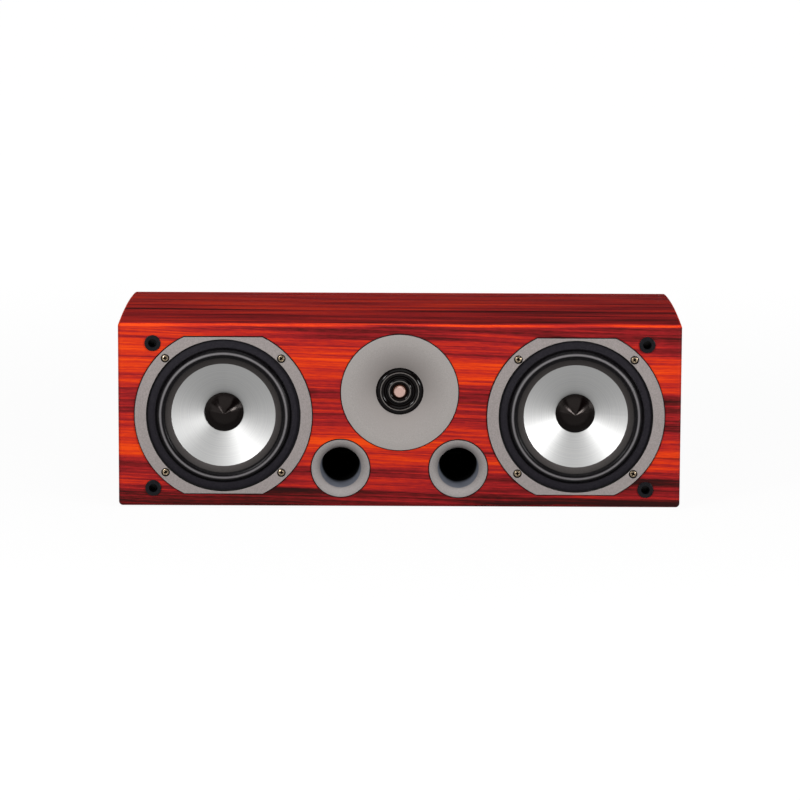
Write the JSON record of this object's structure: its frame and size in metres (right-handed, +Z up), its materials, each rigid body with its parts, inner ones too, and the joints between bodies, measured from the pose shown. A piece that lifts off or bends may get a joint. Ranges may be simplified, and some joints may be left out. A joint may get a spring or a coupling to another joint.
{
  "type": "center channel speaker",
  "caption": "Low wide speaker cabinet with a curved top, a waveguide tweeter over flared ports, a metal cone woofer at each side and a terminal cup behind.",
  "frame": {"origin": "centre of the underside, on the surface that the pads stand on", "axes": "+X along the cabinet to the listener's right, +Y from the front to the back, +Z up"},
  "size_m": [0.495, 0.256, 0.166],
  "materials": {
    "rosewood_veneer": "lacquered veneer",
    "fibreboard": "raw",
    "pad_rubber": "matte",
    "socket_plastic": "satin",
    "trim_grey": "fine texture",
    "screw_brass": "antique",
    "basket_alloy": "cast",
    "gasket_foam": "foam",
    "surround_rubber": "satin",
    "cone_aluminium": "spun",
    "cap_gloss": "gloss",
    "coil_copper": "enamelled wire",
    "spider_cloth": "resin cloth",
    "plated_steel": "zinc plated",
    "ferrite": "sintered",
    "diaphragm_cloth": "coated",
    "plug_copper": "turned",
    "black_plastic": "moulded",
    "post_gilt": "gilt",
    "knob_red": "gloss",
    "knob_black": "gloss",
    "board_laminate": "laminate",
    "capacitor_film": "film",
    "resistor_cement": "cement",
    "pad_wadding": "polyester wadding"
  },
  "bodies": {
    "cabinet": {"bottom_panel": "rosewood_veneer", "crossover_board": "board_laminate", "crossover_capacitors": "capacitor_film", "crossover_inductors": "coil_copper", "crossover_resistors": "resistor_cement", "crossover_spacers": "black_plastic", "damping_pads": "pad_wadding", "front_baffle": "rosewood_veneer", "grille_sockets": "socket_plastic", "left_brace": "fibreboard", "left_end_panel": "rosewood_veneer", "left_port": "trim_grey", "negative_post": "post_gilt", "positive_post": "post_gilt", "post_nuts": "plated_steel", "rear_panel": "rosewood_veneer", "right_brace": "fibreboard", "right_end_panel": "rosewood_veneer", "right_port": "trim_grey", "rubber_feet": "pad_rubber", "terminal_cup": "black_plastic", "terminal_cup_screws": "plated_steel", "top_panel": "rosewood_veneer", "tweeter_diaphragm": "diaphragm_cloth", "tweeter_magnet": "ferrite", "tweeter_phase_plug": "plug_copper", "tweeter_rear_chamber": "black_plastic", "tweeter_screws": "plated_steel", "tweeter_top_plate": "plated_steel", "tweeter_voice_coil": "coil_copper", "tweeter_waveguide": "trim_grey", "tweeter_yoke": "plated_steel", "woofer_left_basket": "basket_alloy", "woofer_left_gasket": "gasket_foam", "woofer_left_magnet": "ferrite", "woofer_left_screws": "screw_brass", "woofer_left_spider": "spider_cloth", "woofer_left_surround": "surround_rubber", "woofer_left_top_plate": "plated_steel", "woofer_left_trim_ring": "trim_grey", "woofer_left_yoke": "plated_steel", "woofer_right_basket": "basket_alloy", "woofer_right_gasket": "gasket_foam", "woofer_right_magnet": "ferrite", "woofer_right_screws": "screw_brass", "woofer_right_spider": "spider_cloth", "woofer_right_surround": "surround_rubber", "woofer_right_top_plate": "plated_steel", "woofer_right_trim_ring": "trim_grey", "woofer_right_yoke": "plated_steel"},
    "woofer_left_piston": {"woofer_left_cone": "cone_aluminium", "woofer_left_dust_cap": "cap_gloss", "woofer_left_voice_coil": "coil_copper"},
    "woofer_right_piston": {"woofer_right_cone": "cone_aluminium", "woofer_right_dust_cap": "cap_gloss", "woofer_right_voice_coil": "coil_copper"},
    "positive_thumb_nut": {"positive_knob": "knob_red"},
    "negative_thumb_nut": {"negative_knob": "knob_black"}
  },
  "joints": [
    {"name": "woofer_left_travel", "type": "slide", "parent": "cabinet", "child": "woofer_left_piston", "axis": [0, -1, 0], "range_m": [-0.004, 0.004], "stiffness_N_per_m": 1000, "deforming": ["woofer_left_surround", "woofer_left_spider"]},
    {"name": "woofer_right_travel", "type": "slide", "parent": "cabinet", "child": "woofer_right_piston", "axis": [0, -1, 0], "range_m": [-0.004, 0.004], "stiffness_N_per_m": 1000, "deforming": ["woofer_right_surround", "woofer_right_spider"]},
    {"name": "positive_knob_turn", "type": "hinge", "parent": "cabinet", "child": "positive_thumb_nut", "pos_m": [-0.0095, 0.1204, 0.077], "axis": [0, 1, 0], "range_deg": [0, 1080]},
    {"name": "negative_knob_turn", "type": "hinge", "parent": "cabinet", "child": "negative_thumb_nut", "pos_m": [0.0095, 0.1204, 0.077], "axis": [0, 1, 0], "range_deg": [0, 1080]}
  ]
}
